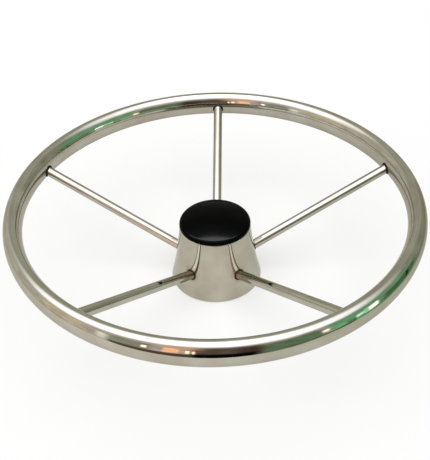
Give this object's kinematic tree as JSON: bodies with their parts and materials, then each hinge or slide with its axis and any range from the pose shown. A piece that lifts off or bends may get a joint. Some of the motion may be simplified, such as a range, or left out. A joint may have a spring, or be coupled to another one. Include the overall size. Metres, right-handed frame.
{
  "type": "boat steering wheel",
  "caption": "Dished steering wheel with an oval tube rim, straight round spokes, a conical hub with a keyed taper bore, and a domed push-in centre cap.",
  "frame": {"origin": "centre of the hub's flat back, on the shaft axis", "axes": "+Z along the shaft axis towards the driver, +Y along one spoke, over the keyway"},
  "size_m": [0.3939, 0.394, 0.1049],
  "materials": {
    "polished_steel": "mirror polished stainless steel",
    "turned_steel": "turned stainless steel",
    "weld_bead": "cleaned weld bead",
    "black_plastic": "satin black moulding"
  },
  "bodies": {
    "wheel": {"rim_tube": "polished_steel", "hub_shell": "polished_steel", "shaft_boss": "turned_steel", "back_plate": "turned_steel", "shell_seam_weld": "weld_bead", "boss_seam_weld": "weld_bead", "shaft_washer": "turned_steel", "shaft_nut": "turned_steel", "spoke_1": "polished_steel", "spoke_2": "polished_steel", "spoke_3": "polished_steel", "spoke_4": "polished_steel", "spoke_5": "polished_steel", "rim_weld_1": "weld_bead", "rim_weld_2": "weld_bead", "rim_weld_3": "weld_bead", "rim_weld_4": "weld_bead", "rim_weld_5": "weld_bead", "shell_weld_1": "weld_bead", "shell_weld_2": "weld_bead", "shell_weld_3": "weld_bead", "shell_weld_4": "weld_bead", "shell_weld_5": "weld_bead", "boss_weld_1": "weld_bead", "boss_weld_2": "weld_bead", "boss_weld_3": "weld_bead", "boss_weld_4": "weld_bead", "boss_weld_5": "weld_bead"},
    "cap": {"centre_cap": "black_plastic"}
  },
  "joints": [
    {"name": "cap_pull", "type": "slide", "parent": "wheel", "child": "cap", "axis": [0, 0, 1], "range_m": [0, 0.06]}
  ]
}
